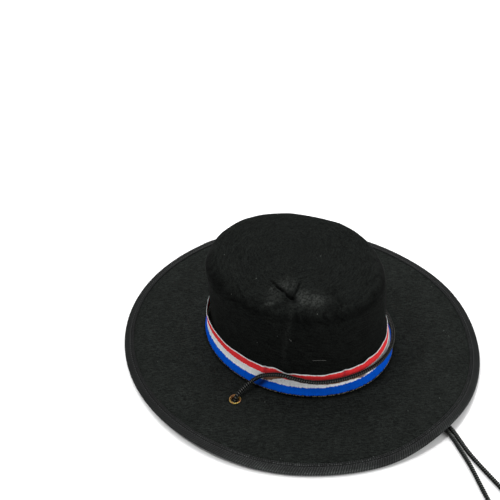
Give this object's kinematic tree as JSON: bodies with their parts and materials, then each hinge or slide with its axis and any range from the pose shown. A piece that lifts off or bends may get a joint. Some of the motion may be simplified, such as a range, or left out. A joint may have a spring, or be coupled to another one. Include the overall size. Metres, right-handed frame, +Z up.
{
  "type": "gaucho hat",
  "caption": "Wide flat-brimmed felt hat with a round flat-topped crown, striped ribbon band, brass brim eyelets and a braided chin cord.",
  "frame": {"origin": "on the surface the hat rests on, below the middle of the brim's outline", "axes": "+Z up through the crown, -Y towards the front of the hat, +X towards its side"},
  "size_m": [0.345, 0.5081, 0.12],
  "materials": {
    "felt": "pressed black felt",
    "binding": "black ribbed ribbon",
    "band": "red, white and blue striped ribbon",
    "brass": "polished",
    "cord": "round black braid"
  },
  "bodies": {
    "root": {"felt_body": "felt", "brim_binding": "binding", "hat_band": "band", "eyelet_left": "brass", "eyelet_right": "brass", "chin_cord": "cord"}
  },
  "joints": []
}
